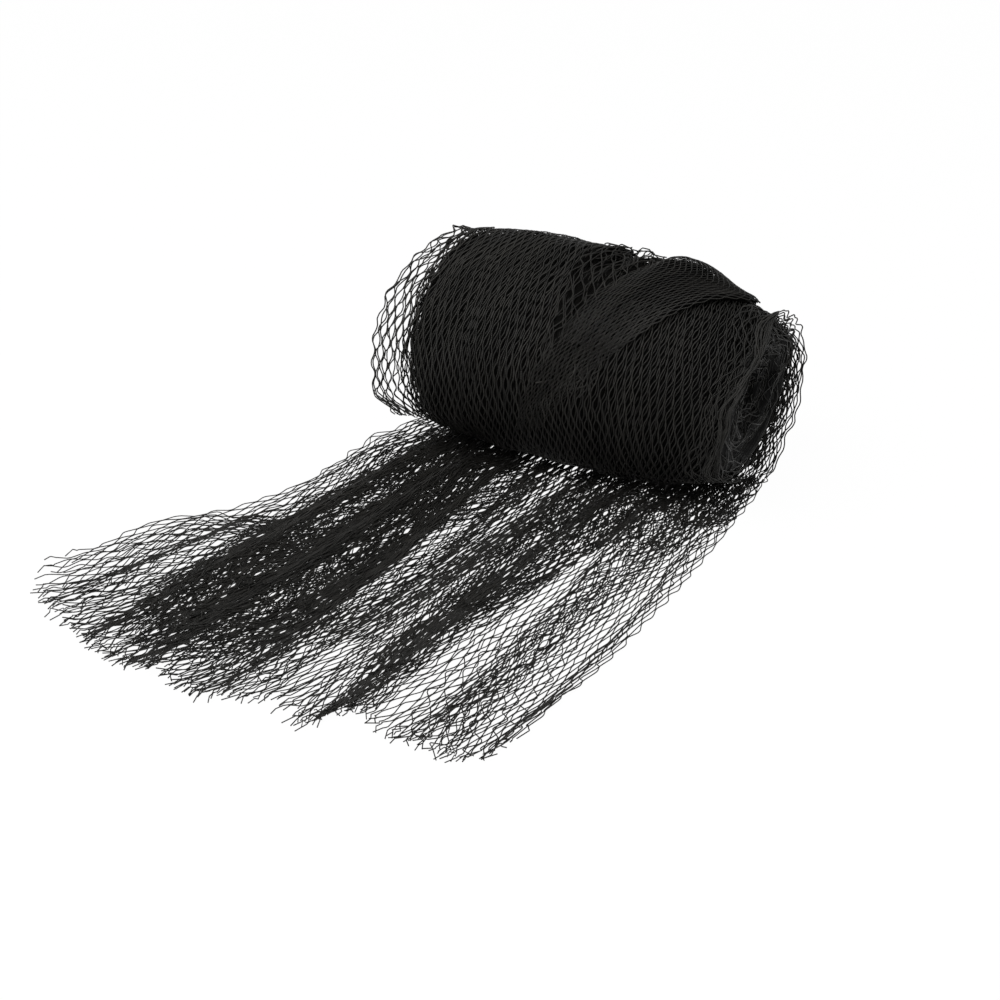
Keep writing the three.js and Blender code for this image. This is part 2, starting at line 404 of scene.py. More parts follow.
@dataclass(frozen=True)
class FloorFinish:
    """White floor that shows only a faint shadow."""

    name: str
    glow: float = 0.93
    strength: float = 1.05
    shade: float = 0.42

    def make(self) -> bpy.types.Material:
        """Builds the material.

        Returns:
            The new material.
        """
        nodes = ShaderNodes.material(self.name)
        rays = ("Is Camera Ray", "Is Glossy Ray", "Is Transmission Ray")
        seen, glossy, through = [nodes.add("ShaderNodeLightPath", {}, {}, ray) for ray in rays]
        matt = nodes.add("ShaderNodeBsdfDiffuse", {}, {"Color": (self.shade, self.shade, self.shade, 1)})
        white = nodes.add("ShaderNodeEmission", {}, {"Color": WHITE, "Strength": self.strength})
        share = (seen + glossy + through) * self.glow
        return nodes.finish(nodes.add("ShaderNodeMixShader", {}, {0: share, 1: matt, 2: white}))


# ---------------------------------------------------------------- knitting


@dataclass(frozen=True)
class Knit:
    """The net's pattern, and the yarn that it is knitted from."""

    wale_pitch: float = 2.65
    cell_length: float = 20.0
    joint_share: float = 0.2
    joint_rounding: float = 0.8
    yarn_diameter: float = 0.8
    sides: int = 3

    def turns(self) -> Array:
        """Places within one cell where a wale bends: the start, middle and end of its two joints."""
        joint = np.array([0, 0.5, 1]) * self.joint_share
        return np.concatenate([joint, joint + 0.5])

    def swings(self) -> Array:
        """How far a wale swings at those places: 1 where it meets its neighbour."""
        joint = np.array([self.joint_rounding, 1, self.joint_rounding])
        return np.concatenate([joint, -joint])

    def yarn_in_cell(self) -> float:
        """Length of yarn that one wale has in one flat, open cell."""
        bar = math.hypot((0.5 - self.joint_share) * self.cell_length, self.wale_pitch)
        return 2 * (self.joint_share * self.cell_length + bar)


@dataclass
class Strands:
    """Guides for wales: their points and what the yarn does at each of them."""

    points: Array
    across: Array
    swing: Array
    tone: Array
    run: Array

    def count(self) -> tuple[int, int]:
        """Wales and points in each."""
        return self.points.shape[:2]


@dataclass
class Layer:
    """One layer of net on a surface.

    surface takes the wales' shares across the cloth and the way along it in millimetres, as arrays of one
    shape, and hands back points in millimetres. opening is how far the cells are open, jitter how far a
    joint strays, drift and skew how far the rows of joints do, in cells, and ragged how far wales are cut
    short. Below ground no yarn lies.
    """

    surface: Surface
    wales: int
    length: float
    seed: int
    knit: Knit = Knit()
    opening: float = 1.0
    jitter: float = 0.3
    drift: float = 0.1
    ragged: float = 0.0
    skew: float = 0.0
    ground: float = -math.inf
    drift_seed: int = 5
    drift_width: float = 200.0
    drift_wavelength: float = 90.0
    short_share: float = 0.12
    short_by: float = 4.0
    flattening: float = 0.5
    joint_overlap: float = 0.6
    bend: tuple[float, float, float] = (2.6, 1.5, 1.2)
    curl: tuple[float, float, float] = (1.2, 0.96, 0.64)
    frayed_from: float = 0.955

    def strands(self) -> Strands:
        """Lays the guides of all wales.

        Returns:
            The guides, on the layer's surface.
        """
        rng = np.random.default_rng(self.seed)
        knit = self.knit
        cells = max(2, round(self.length / knit.cell_length))
        stops = (np.arange(cells)[:, None] + knit.turns()[None, :]).ravel() / cells
        stops = np.append(stops, 1.0)
        wale = np.arange(self.wales)[:, None]
        pitch = 1 / max(1, self.wales - 1)
        share = wale * pitch + 0 * stops[None, :]
        full = self.length
        way = (stops[None, :] + 0 * share) * full
        inner = hump(way / full - 0.5, 0.5)
        way = way + self.skew * (share - 0.5) * knit.cell_length * inner
        drift = Ripple(self.drift_seed, self.drift * knit.cell_length, self.drift_wavelength)
        way = way + inner * drift.at(share * self.drift_width, way)
        if self.ragged:
            cut = rng.normal(0, self.ragged, (self.wales, 1))
            short = rng.random((self.wales, 1)) < self.short_share
            way = way + (cut - self.short_by * self.ragged * short) * (way / full) ** 4
        points = self.surface(share, way)
        across = (self.surface(share + pitch, way) - self.surface(share - pitch, way)) / 4
        side = np.append(np.tile(knit.swings(), cells), knit.joint_rounding)[None, :]
        side = side * np.where(wale % 2, -1, 1)
        row = np.append(np.repeat(np.arange(2 * cells), 3), 2 * cells)[None, :]
        column = wale + (side > 0)
        shift = rng.normal(0, self.jitter, (self.wales + 2, 2 * cells + 1, 3))
        points = points + shift[column, row + 0 * column] * np.array([1, 1, self.flattening])
        if self.ragged:
            points = points + self._frayed(rng, way / full, points.shape)
        points[..., 2] = np.maximum(points[..., 2], self.ground + 0.6 * knit.yarn_diameter)
        side = side * (1 - self.joint_overlap * knit.yarn_diameter / knit.wale_pitch)
        tone = rng.random((self.wales, 1)) + 0 * share
        run = way / full * cells * knit.cell_length
        return Strands(points, across, side * self.opening, tone, run * MM)

    def _frayed(self, rng: np.random.Generator, part: Array, shape: tuple[int, ...]) -> Array:
        """Bends the last stitches of each wale its own way, where the cut yarn ends curl.

        Args:
            rng: the layer's random numbers.
            part: share of the way along each wale.
            shape: shape of the wales' points.

        Returns:
            How far the points move, with none moved down.
        """
        moved = rng.normal(0, 1, (shape[0], 1, 3)) * np.array(self.bend)
        moved[..., 2] = np.abs(moved[..., 2])
        curl = rng.normal(0, 1, shape) * np.array(self.curl)
        curl[..., 2] = np.abs(curl[..., 2])
        return (moved + curl) * smoothstep(part, self.frayed_from, 1.0)[..., None]


def link(name: str, data: bpy.types.ID) -> bpy.types.Object:
    """Puts something into the scene.

    Args:
        name: name of the new object.
        data: its mesh, camera or lamp.

    Returns:
        The object.
    """
    thing = bpy.data.objects.new(name, data)
    bpy.context.scene.collection.objects.link(thing)
    return thing


class NetTree:
    """The Geometry Nodes tree that knits yarn along guides."""

    def __init__(self) -> None:
        """Sets up the tree's sockets and nodes."""
        self.tree = bpy.data.node_groups.new("knit_yarn", "GeometryNodeTree")
        self.inputs: dict[str, str] = {}
        for name, kind in (
            ("Guides", "NodeSocketGeometry"),
            ("Yarn Radius", "NodeSocketFloat"),
            ("Sides", "NodeSocketInt"),
            ("Yarn", "NodeSocketMaterial"),
        ):
            self._socket(name, kind, "INPUT")
        self._socket("Net", "NodeSocketGeometry", "OUTPUT")
        self._build()

    def _socket(self, name: str, kind: str, way: str) -> None:
        """Adds a socket to the tree's interface."""
        socket = self.tree.interface.new_socket(name, in_out=way, socket_type=kind)
        self.inputs[name] = socket.identifier

    def _node(self, kind: str, settings: dict, links: dict) -> Sequence[bpy.types.NodeSocket]:
        """Adds a node.

        Args:
            kind: the node's type.
            settings: its properties.
            links: its linked or plain inputs, by socket name or number.

        Returns:
            Its outputs.
        """
        node = self.tree.nodes.new(kind)
        for key, setting in settings.items():
            setattr(node, key, setting)
        for key, content in links.items():
            if isinstance(content, bpy.types.NodeSocket):
                self.tree.links.new(content, node.inputs[key])
            else:
                node.inputs[key].default_value = content
        return node.outputs

    def _build(self) -> None:
        """Swings the guides from neighbour to neighbour, sweeps the yarn along them and dresses it."""
        given = self._node("NodeGroupInput", {}, {})
        named = "GeometryNodeInputNamedAttribute"
        across = self._node(named, {"data_type": "FLOAT_VECTOR"}, {"Name": "across"})[0]
        swing = self._node(named, {"data_type": "FLOAT"}, {"Name": "swing"})[0]
        offset = self._node("ShaderNodeVectorMath", {"operation": "SCALE"}, {0: across, "Scale": swing})[0]
        moved = self._node("GeometryNodeSetPosition", {}, {"Geometry": given["Guides"], "Offset": offset})[0]
        wales = self._node("GeometryNodeMeshToCurve", {}, {"Mesh": moved})[0]
        section = {"Resolution": given["Sides"], "Radius": given["Yarn Radius"]}
        ring = self._node("GeometryNodeCurvePrimitiveCircle", {"mode": "RADIUS"}, section)[0]
        sweep = {"Curve": wales, "Profile Curve": ring, "Fill Caps": True}
        yarn = self._node("GeometryNodeCurveToMesh", {}, sweep)[0]
        smooth = self._node("GeometryNodeSetShadeSmooth", {}, {"Geometry": yarn})[0]
        real = self._node("GeometryNodeRealizeInstances", {}, {"Geometry": smooth})[0]
        dressed = self._node("GeometryNodeSetMaterial", {}, {"Geometry": real, "Material": given["Yarn"]})[0]
        self._node("NodeGroupOutput", {}, {"Net": dressed})

    def knit(self, name: str, layers: Sequence[Layer], finish: bpy.types.Material) -> bpy.types.Object:
        """Knits all layers of a piece into one plain mesh.

        Args:
            name: name of the piece.
            layers: its layers, all of one yarn.
            finish: material of the yarn.

        Returns:
            The piece, with no modifier left on it.
        """
        guides = link(name + "_guides", self._guides(name, [layer.strands() for layer in layers]))
        modifier = guides.modifiers.new("knit", "NODES")
        modifier.node_group = self.tree
        modifier[self.inputs["Yarn Radius"]] = layers[0].knit.yarn_diameter / 2 * MM
        modifier[self.inputs["Sides"]] = layers[0].knit.sides
        modifier[self.inputs["Yarn"]] = finish
        bpy.context.view_layer.update()
        evaluated = guides.evaluated_get(bpy.context.evaluated_depsgraph_get())
        mesh = bpy.data.meshes.new_from_object(evaluated)
        mesh.name = name
        for spare in ("across", "swing"):
            if spare in mesh.attributes:
                mesh.attributes.remove(mesh.attributes[spare])
        bpy.data.objects.remove(guides)
        return link(name, mesh)

    @staticmethod
    def _guides(name: str, strands: Sequence[Strands]) -> bpy.types.Mesh:
        """Draws the guides of several layers as loose edges.

        Args:
            name: name of the piece that they are for.
            strands: the guides of each layer.

        Returns:
            One mesh with the guides and what the yarn does along them.
        """
        columns = {"points": [], "across": [], "swing": [], "tone": [], "run": []}
        edges, start = [], 0
        for layer in strands:
            wales, stops = layer.count()
            index = start + np.arange(wales * stops).reshape(wales, stops)
            edges.append(np.stack([index[:, :-1].ravel(), index[:, 1:].ravel()], 1))
            start += wales * stops
            for key, parts in columns.items():
                parts.append(getattr(layer, key).reshape(wales * stops, -1))
        full = {key: np.concatenate(parts) for key, parts in columns.items()}
        joined = np.concatenate(edges)
        mesh = bpy.data.meshes.new(name + "_guides")
        mesh.vertices.add(len(full["points"]))
        mesh.vertices.foreach_set("co", PLACE.points(full["points"]).ravel().astype(np.float32))
        mesh.edges.add(len(joined))
        mesh.edges.foreach_set("vertices", joined.ravel().astype(np.int32))
        for key, kind, scale in (
            ("across", "FLOAT_VECTOR", MM),
            ("swing", "FLOAT", 1),
            ("tone", "FLOAT", 1),
            ("run", "FLOAT", 1),
        ):
            attribute = mesh.attributes.new(key, kind, "POINT")
            field_name = "vector" if kind == "FLOAT_VECTOR" else "value"
            attribute.data.foreach_set(field_name, (full[key] * scale).ravel().astype(np.float32))
        mesh.update()
        return mesh


@dataclass(frozen=True)
class Placement:
    """Where the netting's own zero point lies in the frame of the part, in metres."""

    x: float
    y: float

    @classmethod
    def from_frame(cls, left_tip: float) -> "Placement":
        """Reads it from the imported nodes: the left tip of the loose end and the middle of the roll."""
        roll_low, roll_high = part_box("roll")
        return cls(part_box("loose_end")[0][0] - left_tip * MM, (roll_low[1] + roll_high[1]) / 2)

    def points(self, points: Array) -> Array:
        """Millimetres of the netting's frame as metres of the part's frame."""
        return points * MM + np.array([self.x, self.y, 0])


# ---------------------------------------------------------------- the roll's form


# least share of a sheet's flat size that its yarn is counted as covering
LEAST_COVER = 0.301

AXIS_HEIGHT = 70.0
SEAT = 3.0
LEFT_TIP = -241.0
END_SLANT = 0.13

PLACE = Placement.from_frame(LEFT_TIP)


@dataclass(frozen=True)
class RollForm:
    """Outer form of the wound netting, shared by the core, the wraps on it and the loose turn."""

    stations: Table = Table(
        ("along", "radius", "pressed"),
        ((-107, 61.5, 0), (-84, 66, 0), (-45, 69, 0), (0, 69, 0), (45, 68, 3), (84, 63, 14), (103, 57.5, 17)),
    )
    lumps: tuple[tuple[float, int, float], ...] = ((0.7, 3, 38.0), (0.45, 5, -27.0))
    left: float = -107.0
    right: float = 103.0
    pressed_angle: float = 55.0
    pressed_reach: float = 60.0
    pressed_return: float = 2.0
    dent_depth: float = 12.0
    dent_place: float = 19.0
    dent_slant: float = 0.15
    dent_angle: float = 62.0
    dent_reach: tuple[float, float] = (14.0, 50.0)

    def dent(self, along: Array, angle: Array) -> Array:
        """Depth of the dent beside the fold, on top of the roll and behind it."""
        beside = hump(along - self.dent_place + self.dent_slant * angle, self.dent_reach[0])
        return self.dent_depth * beside * hump(angle - self.dent_angle, self.dent_reach[1])

    def pressed(self, along: Array, angle: Array) -> Array:
        """How far the tight fold presses the right end in, and the dent beside the fold.

        Args:
            along: place along the roll.
            angle: angle in degrees.

        Returns:
            The depths.
        """
        depth = self.stations.at("pressed", along) - self.pressed_return * np.maximum(0, along - self.right)
        bend = (np.asarray(angle) + 180) % 360 - 180
        pressed = np.maximum(0, depth) * hump(bend - self.pressed_angle, self.pressed_reach)
        return pressed + self.dent(along, bend)

    def radius(self, along: Array, angle: Array) -> Array:
        """Radius of the wound surface, with its soft lumps and where it is pressed in.

        Args:
            along: place along the roll.
            angle: angle in degrees.

        Returns:
            The radii.
        """
        turn = np.radians(angle)
        lumps = sum(size * np.sin(count * turn + along / length) for size, count, length in self.lumps)
        return self.stations.at("radius", along) + lumps - self.pressed(along, angle)

    def point(self, along: Array, angle: Array, distance: Array, ground: float) -> Array:
        """A point by its angle round the roll, 0 at the back and 90 at the top.

        Args:
            along: place along the roll.
            angle: angle in degrees.
            distance: distance from the roll's axis.
            ground: least height, where the cloth lies flat.

        Returns:
            Points in millimetres, with the right end slanted.
        """
        turn = np.radians(angle)
        y, z = distance * np.cos(turn), AXIS_HEIGHT + distance * np.sin(turn)
        below = z < ground
        drop = np.where(below, AXIS_HEIGHT - z, 1.0)
        y = np.where(below, y * (AXIS_HEIGHT - ground) / drop, y)
        z = np.maximum(z, ground)
        x = along + END_SLANT * (z - AXIS_HEIGHT) * smoothstep(along, 0, self.right)
        return np.stack(np.broadcast_arrays(x, y, z), -1)


FORM = RollForm()


def ride(piece: bpy.types.Object, note: str) -> bpy.types.Object:
    """Gives a piece its body and reports it.

    Args:
        piece: the piece.
        note: what it is.

    Returns:
        The piece.
    """
    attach(piece, "root")
    log.info("%-22s %7d triangles  %s", piece.name, triangles(piece), note)
    return piece


def triangles(piece: bpy.types.Object) -> int:
    """Triangles in a piece's mesh."""
    return sum(len(face.vertices) - 2 for face in piece.data.polygons)


def declare(
    layers: Sequence[Layer]
) -> None:
    """Works out a piece of net's flat size, all its layers side by side and as long as they are on average,
    and the area its yarn covers, and does nothing more with them.

    Args:
        layers: the layers that it holds.
    """
    knit = layers[0].knit
    wales = sum(layer.wales for layer in layers)
    width = wales * knit.wale_pitch * MM
    length = sum(layer.wales * layer.length for layer in layers) / wales * MM
    cells = sum(layer.wales * layer.length / knit.cell_length for layer in layers)
    area = max(cells * knit.yarn_in_cell() * knit.yarn_diameter * MM * MM, LEAST_COVER * width * length)


# ---------------------------------------------------------------- the wound roll


TURN_EDGES = Table(
    ("angle", "slack", "left", "right", "rim"),
    (
        (-75, 20, -118, 116, 0.93), (-60, 14, -124, 116, 0.93), (-45, 9.5, -127, 116, 0.93),
        (-20, 5, -128, 115, 0.93), (10, 2, -126, 112, 0.935), (50, 0.5, -120, 108, 0.955),
        (75, 0, -114, 107, 0.965), (92, 0, -115, 108, 0.975), (118, 0, -121, 111, 0.985),
        (145, 0, -128, 112, 0.99), (165, 0.5, -131, 110, 0.99), (190, 1, -131, 107, 0.99),
        (226, 0.5, -127, 104, 0.97),
    ),
)


@dataclass(frozen=True)
class TurnSurface:
    """Surface of a turn of net round the roll, from under its back over the top to its front.

    Its left part stands out past the roll as a veil and so does its right part at the back. Inner turns lie
    below it and end sooner.
    """

    below: float = 0.0
    first_wale: int = 0
    last_wale: int = 99
    seed: int = 0
    stray: float = 0.0
    shift: float = 0.0
    first: float = -75.0
    last: float = 226.0
    length: float = 385.0
    stand_off: float = 1.9
    flare: float = 0.1
    wales: int = 100
    veil_share: float = 0.085
    veil_place: float = 0.1
    veil_calm: float = 0.9
    veil_calm_angle: float = 85.0
    veil_calm_reach: float = 70.0
    edge_reach: tuple[float, float] = (13.0, 6.0)
    right_edge: float = 0.6
    rim_share: float = 0.93
    wander: Ripple = Ripple(71, 0.9, 60)
    edge_wander: Ripple = Ripple(73, 1.8, 42)
    pleats: Pleats = Pleats(74, 0.12, (11.0, 26.0), 300)
    puff: Ripple = Ripple(72, 0.5, 34)
    edge_puff: Ripple = Ripple(75, 0.9, 38)
    stray_length: float = 45.0
    inner_slack: float = 0.3
    arc_radius: float = 70.0
    rest_height: float = 0.4

    def distance(self, along: Array, angle: Array) -> Array:
        """Distance of the turn from the roll's axis.

        Args:
            along: place along the roll.
            angle: angle in degrees.

        Returns:
            The distances, larger where the turn is slack or stands out as a veil.
        """
        calm = self.veil_calm * hump(angle - self.veil_calm_angle, self.veil_calm_reach)
        veil = self.flare * np.maximum(0, FORM.left - along) * (1 - calm)
        slack = TURN_EDGES.at("slack", angle) * (1 if self.below <= 0 else self.inner_slack)
        return FORM.radius(along, angle) + self.stand_off + slack + veil - self.below

    def angle(self, way: Array) -> Array:
        """Angle of a place along the cloth."""
        return self.first + (self.last - self.first) * way / self.length

    def spread(self, share: Array, rim: Array) -> Array:
        """Place across the turn: cells open in the veils and crowd at a tight rim.

        Args:
            share: the wales' shares of all wales.
            rim: place of the right rim.

        Returns:
            Places from 0 at the left edge to 1 at the right one.
        """
        left = share / self.veil_share * self.veil_place
        middle = (share - self.veil_share) / (self.rim_share - self.veil_share)
        middle = mix(self.veil_place, rim, middle)
        right = mix(rim, 1.0, (share - self.rim_share) / (1 - self.rim_share))
        return np.where(share < self.veil_share, left, np.where(share < self.rim_share, middle, right))

    def __call__(self, share: Array, way: Array) -> Array:
        """Lays the turn.

        Args:
            share: the wales' shares across the cloth.
            way: way along it.

        Returns:
            Points in millimetres.
        """
        angle = self.angle(way)
        share = mix(self.first_wale, self.last_wale, share) / (self.wales - 1)
        turned = np.where(angle > TURN_EDGES.rows[-1][0], angle - 360, angle)
        place = self.spread(share, TURN_EDGES.at("rim", turned))
        left, right = TURN_EDGES.at("left", turned), TURN_EDGES.at("right", turned)
        along = mix(left, right, place)
        arc = np.radians(angle) * self.arc_radius
        edge = np.exp((left - along) / self.edge_reach[0])
        edge = edge + self.right_edge * np.exp((along - right) / self.edge_reach[1])
        along = along + self.wander.at(along, arc) + edge * self.edge_wander.at(arc, 0.3 * along)
        along = along + self.shift + Ripple(self.seed, self.stray, self.stray_length).at(along, arc)
        along = along + self.pleats.at(along, arc)
        puff = self.puff.at(along, arc) + np.minimum(edge, 1.2) * self.edge_puff.at(arc, along)
        return FORM.point(along, angle, self.distance(along, angle) + puff, self.rest_height)


@dataclass
class WoundRoll:
    """The roll without its loose turn: a core almost black with painted shade, the wraps on it and the
    gathered net at its ends.
    """

    tree: NetTree
    yarn: bpy.types.Material
    # painted shade: yarn darkened for net that little light reaches
    painted_shade_yarn: bpy.types.Material
    # painted shade: the almost black depth of the roll
    depth: bpy.types.Material
    knit: Knit = Knit(cell_length=16.5, joint_share=0.25, yarn_diameter=0.95)
    deep_knit: Knit = Knit(cell_length=16.5, yarn_diameter=1.1)
    rim_rounding: float = 6.0
    left_inset: float = 0.5
    right_inset: float = -1.0
    net_inset: float = -2.0
    hollow_radius: float = 13.0
    hollow_depth: float = 24.0
    hollow_stretch: float = 0.25
    dish_depth: float = 7.0
    coil_pitch: float = 18.0
    coil_depth: float = 1.8
    core_inset: float = 1.2
    sides: int = 96
    face_rings: int = 20
    rounding_rings: int = 4
    wall_rings: int = 44
    wrap_opening: float = 0.66
    face_wales: int = 18
    face_levels: int = 3
    face_length: float = 250.0
    face_step: float = 0.9
    face_wander: tuple[float, float] = (4.2, 26.0)
    face_puff: tuple[float, float] = (1.1, 22.0)

    def build(self) -> None:
        """Builds all pieces of the roll."""
        self.core()
        self.wraps()
        self.end_nets()

    def _profile(self) -> list[tuple[float, float, bool]]:
        """Outline of the core from one hollow to the other.

        Returns:
            Place along, radius and whether it is on an end face, for each ring of points.
        """
        rows = []
        for end, inwards in ((FORM.left + self.left_inset, 1), (FORM.right - self.right_inset, -1)):
            rim = float(FORM.stations.at("radius", end))
            face = [(end + inwards * self.hollow_depth, 0.001, True)]
            face.append((end + inwards * self.hollow_depth, self.hollow_radius * 0.8, True))
            for step in range(self.face_rings + 1):
                share = step / self.face_rings
                radius = mix(self.hollow_radius, rim - self.rim_rounding, share)
                depth = self.dish_depth * (1 - share) ** 2
                face.append((end + inwards * depth, radius, True))
            for step in range(1, self.rounding_rings + 1):
                bend = step / self.rounding_rings * math.pi / 2
                radius = rim - self.rim_rounding * (1 - math.sin(bend))
                face.append((end + inwards * self.rim_rounding * (1 - math.cos(bend)), radius, False))
            rows.append(face)
        wall = []
        first, last = rows[0][-1][0], rows[1][-1][0]
        for step in range(1, self.wall_rings):
            along = mix(first, last, step / self.wall_rings)
            wall.append((along, float(FORM.stations.at("radius", along)), False))
        return rows[0] + wall + rows[1][::-1]

    def core(self) -> None:
        """The closed body of the roll, dark with painted shade of its depth, with a spiral of coils and a
        hollow at each end.
        """
        rows = self._profile()
        along = np.array([row[0] for row in rows])[:, None]
        radius = np.array([row[1] for row in rows])[:, None]
        face = np.array([row[2] for row in rows])[:, None]
        angle = (np.arange(self.sides) * 360 / self.sides)[None, :]
        rim = FORM.stations.at("radius", along)
        surface = FORM.radius(along, angle) - rim
        room = np.minimum(radius - self.hollow_radius, rim - self.rim_rounding - radius)
        coil = np.where(face & (room > 0.5), self._coil(radius, angle), 0)
        out = np.minimum(1, radius / rim)
        distance = radius - self.core_inset * (radius / rim) ** 4 + surface * out**2
        points = FORM.point(along + coil * np.sign(along), angle, distance, SEAT)
        points[..., 1] *= self._stretch(radius)
        rings, sides = points.shape[:2]
        index = np.arange(rings * sides).reshape(rings, sides)
        after = np.roll(index, -1, axis=1)
        quads = np.stack([index[:-1], after[:-1], after[1:], index[1:]], -1).reshape(-1, 4)
        mesh = bpy.data.meshes.new("wound_core")
        mesh.from_pydata(PLACE.points(points).reshape(-1, 3).tolist(), [], quads.tolist())
        across = along + 0 * angle + 0.9 * radius * face
        for key, value in (("across_cloth", across), ("along_cloth", angle * radius / 57.3)):
            attribute = mesh.attributes.new(key, "FLOAT", "POINT")
            attribute.data.foreach_set("value", value.ravel().astype(np.float32))
        self._close(mesh)
        mesh.shade_smooth()
        # painted shade: the core wears the darkened depth of the roll
        mesh.materials.append(self.depth)
        piece = ride(link("wound_core", mesh), "body of the roll")
        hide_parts("roll")

    def _coil(self, radius: Array, angle: Array) -> Array:
        """How far the coils stand out of an end face, in a spiral."""
        phase = FULL_TURN * ((radius - self.hollow_radius) / self.coil_pitch - angle / 360)
        return self.coil_depth * np.sin(phase)

    def _stretch(self, radius: Array) -> Array:
        """How much wider than high the hollow is, by the radius."""
        return 1 + self.hollow_stretch * hump(radius, 2 * self.hollow_radius)

    @staticmethod
    def _close(mesh: bpy.types.Mesh) -> None:
        """Merges the tiny rings at the bottoms of the hollows and turns all faces outwards.

        Args:
            mesh: the core's mesh.
        """
        work = bmesh.new()
        work.from_mesh(mesh)
        bmesh.ops.remove_doubles(work, verts=work.verts, dist=0.00001)
        bmesh.ops.recalc_face_normals(work, faces=work.faces)
        work.to_mesh(mesh)
        work.free()

    def wraps(self) -> None:
        """Two turns of net wound tightly under the loose one: the lower one gets little light, and its yarn
        is darkened with painted shade.
        """
        whole = {"last": 289.4, "length": 466.0}
        for name, surface, knit, finish in (
            ("roll_wrap", TurnSurface(1.0, 9, 95, 81, 0.3, 0.4, **whole), self.knit, self.yarn),
            # painted shade: the deep wrap is knitted from the darkened yarn
            ("deep_wrap", TurnSurface(1.7, 7, 94, 82, 0.3, -0.8, **whole), self.deep_knit, self.painted_shade_yarn),
        ):
            wales = surface.last_wale - surface.first_wale + 1
            layer = Layer(surface, wales, surface.length, surface.seed, knit, self.wrap_opening, ground=0)
            piece = ride(self.tree.knit(name, [layer], finish), "wrap of the roll")
            declare([layer])

    def end_nets(self) -> None:
        """Edges of the wound layers, which are gathered in whorls round the hollow of each end face."""
        layers = []
        for side in (-1, 1):
            for level in range(self.face_levels):
                surface = self._face(side, level, 91 + level + 10 * side)
                seed = 31 + 4 * level + side
                layers.append(Layer(surface, self.face_wales, self.face_length, seed, jitter=0.8))
        piece = ride(self.tree.knit("end_nets", layers, self.yarn), "gathered net at both ends")
        declare(layers)

    def _face(self, side: int, level: int, seed: int) -> Surface:
        """Net that lies round the hollow on one end face, out to the rim.

        Args:
            side: -1 for the left end, 1 for the right one.
            level: number of the layer, from the outside.
            seed: seed of its waves.

        Returns:
            Its surface.
        """
        end = FORM.right if side > 0 else FORM.left
        rim = float(FORM.stations.at("radius", end)) - 0.5
        wander, puff = Ripple(seed, *self.face_wander), Ripple(seed + 1, *self.face_puff)
        lift = -self.face_step * level - self.net_inset

        def surface(share: Array, way: Array) -> Array:
            """Lays the net round the hollow.

            Args:
                share: the wales' shares across the cloth.
                way: way along it.

            Returns:
                Points in millimetres.
            """
            angle = 360 * way / self.face_length
            turn = np.radians(angle)
            radius = mix(self.hollow_radius - 4, rim, share)
            y, z = radius * np.cos(turn), radius * np.sin(turn)
            radius = radius + wander.at(y, z) * hump(share - 0.5, 0.62)
            outer = (radius - self.hollow_radius) / (rim - self.hollow_radius)
            dish = self.dish_depth * np.clip(1 - outer, 0, 1.2) ** 2
            out = self._coil(radius, angle) * hump(share - 0.5, 0.5) + lift + puff.at(y, z)
            inside = np.clip((self.hollow_radius + 1 - radius) / 5, 0, 1)
            along = end + side * (out - dish - 6 * inside)
            inwards = FORM.pressed(end + 0 * angle, angle) * np.minimum(1, radius / rim) ** 2
            points = FORM.point(along, angle, radius - inwards, SEAT)
            points[..., 1] *= self._stretch(radius)
            return points

        return surface


# ---------------------------------------------------------------- the loose turn


